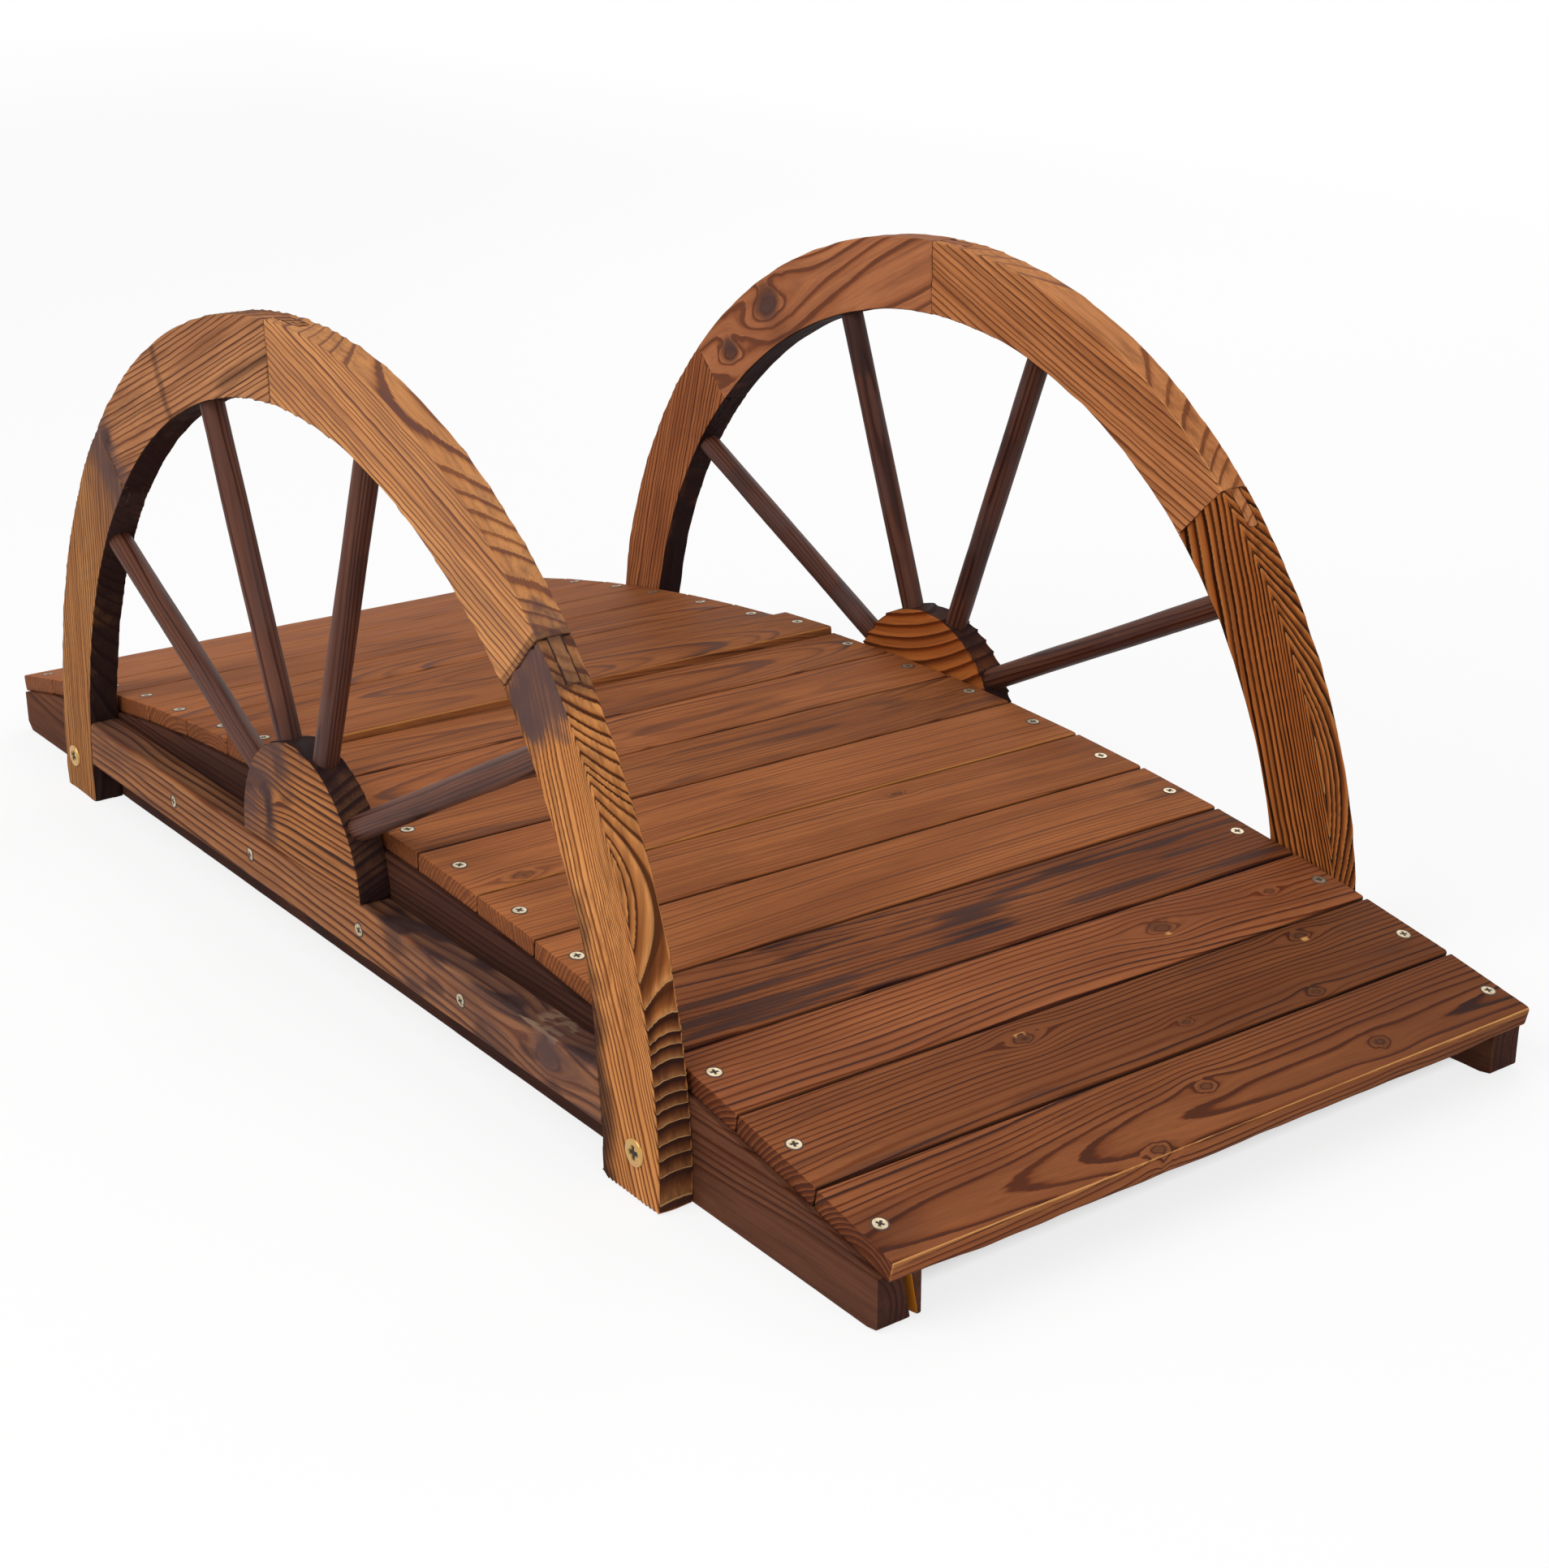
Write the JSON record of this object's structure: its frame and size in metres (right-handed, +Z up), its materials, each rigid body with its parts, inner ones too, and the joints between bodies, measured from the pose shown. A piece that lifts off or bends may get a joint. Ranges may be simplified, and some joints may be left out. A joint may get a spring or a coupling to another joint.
{
  "type": "wooden garden bridge",
  "caption": "Small arched garden bridge of cross boards on side beams, with a half wagon wheel as a handrail on each side, in charred and brushed brown wood.",
  "frame": {"origin": "on the ground, under the middle of the bridge", "axes": "+X along the bridge to its front end, +Y across to the far wheel, +Z up"},
  "size_m": [1.2674, 0.599, 0.4705],
  "materials": {
    "deck_wood": "charred and brushed softwood with a thin satin oil coat, red-brown",
    "beam_wood": "charred and brushed softwood, dark brown, satin",
    "rail_wood": "charred and brushed softwood, brown with dark latewood lines, worn pale at one end",
    "hub_wood": "charred and brushed softwood, brown with deep relief in its grain",
    "rim_wood": "charred and brushed softwood, golden brown with dark latewood ridges",
    "spoke_wood": "charred round rod, dark purple-brown, satin",
    "screw_brass": "yellow zinc plated screw head, cross recess"
  },
  "bodies": {
    "root": {"deck_plank_01": "deck_wood", "deck_plank_02": "deck_wood", "deck_plank_03": "deck_wood", "deck_plank_04": "deck_wood", "deck_plank_05": "deck_wood", "deck_plank_06": "deck_wood", "deck_plank_07": "deck_wood", "deck_plank_08": "deck_wood", "deck_plank_09": "deck_wood", "deck_plank_10": "deck_wood", "deck_plank_11": "deck_wood", "deck_plank_12": "deck_wood", "deck_plank_13": "deck_wood", "deck_plank_14": "deck_wood", "deck_plank_15": "deck_wood", "deck_plank_16": "deck_wood", "deck_plank_17": "deck_wood", "near_beam": "beam_wood", "far_beam": "beam_wood", "near_rail": "rail_wood", "far_rail": "rail_wood", "near_hub": "hub_wood", "far_hub": "hub_wood", "near_felloe_1": "rim_wood", "near_felloe_2": "rim_wood", "near_felloe_3": "rim_wood", "near_felloe_4": "rim_wood", "far_felloe_1": "rim_wood", "far_felloe_2": "rim_wood", "far_felloe_3": "rim_wood", "far_felloe_4": "rim_wood", "near_spoke_1": "spoke_wood", "near_spoke_2": "spoke_wood", "near_spoke_3": "spoke_wood", "near_spoke_4": "spoke_wood", "far_spoke_1": "spoke_wood", "far_spoke_2": "spoke_wood", "far_spoke_3": "spoke_wood", "far_spoke_4": "spoke_wood"}
  },
  "joints": []
}
